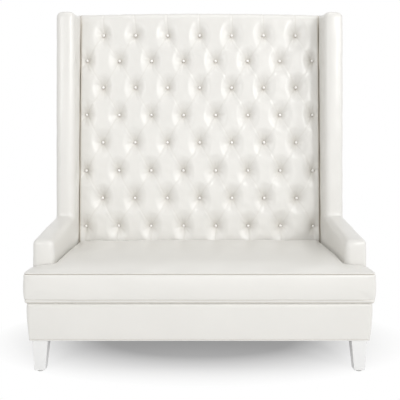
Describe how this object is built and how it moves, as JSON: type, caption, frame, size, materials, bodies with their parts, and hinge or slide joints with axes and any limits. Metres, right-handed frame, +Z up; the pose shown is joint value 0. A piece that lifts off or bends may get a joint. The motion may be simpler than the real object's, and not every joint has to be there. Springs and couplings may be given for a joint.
{
  "type": "high back settee",
  "caption": "Free-standing high back settee with square wings, a diamond tufted back, low sloping arms, a loose T-shaped seat cushion and tapered legs.",
  "frame": {"origin": "on the floor, under the middle of the settee's bounding box", "axes": "+Z up, +Y to the back, +X to the right as seen from the front"},
  "size_m": [1.5538, 0.7342, 1.746],
  "materials": {
    "hardwood": "planed hardwood, unfinished",
    "plywood": "birch plywood",
    "foam": "polyurethane foam, cut faces",
    "padded_leather": "off-white bonded leather over batting, semi-gloss",
    "outer_leather": "off-white bonded leather, pulled flat",
    "button_leather": "off-white leather stretched over button moulds",
    "twine": "waxed button twine",
    "spring_steel": "drawn spring wire",
    "zinc_plate": "zinc plated steel",
    "deck_cloth": "plain woven decking cloth over felt",
    "dust_cloth": "black non-woven cloth",
    "white_lacquer": "white lacquered hardwood, satin",
    "glide_nylon": "nylon glide",
    "zip_tape": "woven tape with coil teeth",
    "zip_metal": "nickel plated"
  },
  "bodies": {
    "settee_frame": {"front_seat_rail": "hardwood", "back_seat_rail": "hardwood", "right_seat_rail": "hardwood", "left_seat_rail": "hardwood", "right_cross_rail": "hardwood", "left_cross_rail": "hardwood", "corner_blocks": "hardwood", "right_back_post": "hardwood", "left_back_post": "hardwood", "back_top_rail": "hardwood", "back_middle_rail": "hardwood", "back_lower_rail": "hardwood", "back_stiles": "hardwood", "frame_dowels": "hardwood", "right_arm_post": "hardwood", "left_arm_post": "hardwood", "right_arm_top_rail": "hardwood", "left_arm_top_rail": "hardwood", "right_wing_post": "hardwood", "left_wing_post": "hardwood", "right_wing_top_rail": "hardwood", "left_wing_top_rail": "hardwood", "tufting_board": "plywood", "back_foam": "foam", "tufted_back_pad": "padded_leather", "back_top_roll": "padded_leather", "tuft_buttons": "button_leather", "button_twines": "twine", "right_side_pad": "padded_leather", "left_side_pad": "padded_leather", "right_outside_panel": "outer_leather", "left_outside_panel": "outer_leather", "outside_back_panel": "outer_leather", "seat_spring_1": "spring_steel", "seat_spring_2": "spring_steel", "seat_spring_3": "spring_steel", "seat_spring_4": "spring_steel", "seat_spring_5": "spring_steel", "seat_spring_6": "spring_steel", "seat_spring_7": "spring_steel", "seat_spring_8": "spring_steel", "spring_clips": "zinc_plate", "seat_deck": "deck_cloth", "base_border": "padded_leather", "front_right_leg": "white_lacquer", "front_left_leg": "white_lacquer", "rear_right_leg": "white_lacquer", "rear_left_leg": "white_lacquer", "leg_plates": "zinc_plate", "leg_bolts": "zinc_plate", "leg_plate_screws": "zinc_plate", "leg_glides": "glide_nylon", "dust_cover": "dust_cloth"},
    "seat_cushion": {"seat_cushion_cover": "padded_leather", "seat_cushion_core": "foam", "cushion_zip_tape": "zip_tape"},
    "zip_slider": {"cushion_zip_slider": "zip_metal"}
  },
  "joints": [
    {"name": "seat_cushion_lift", "type": "slide", "parent": "settee_frame", "child": "seat_cushion", "axis": [0, 0, 1], "range_m": [0, 0.34]},
    {"name": "cushion_zip_run", "type": "slide", "parent": "seat_cushion", "child": "zip_slider", "axis": [1, 0, 0], "range_m": [0, 1.14]}
  ]
}
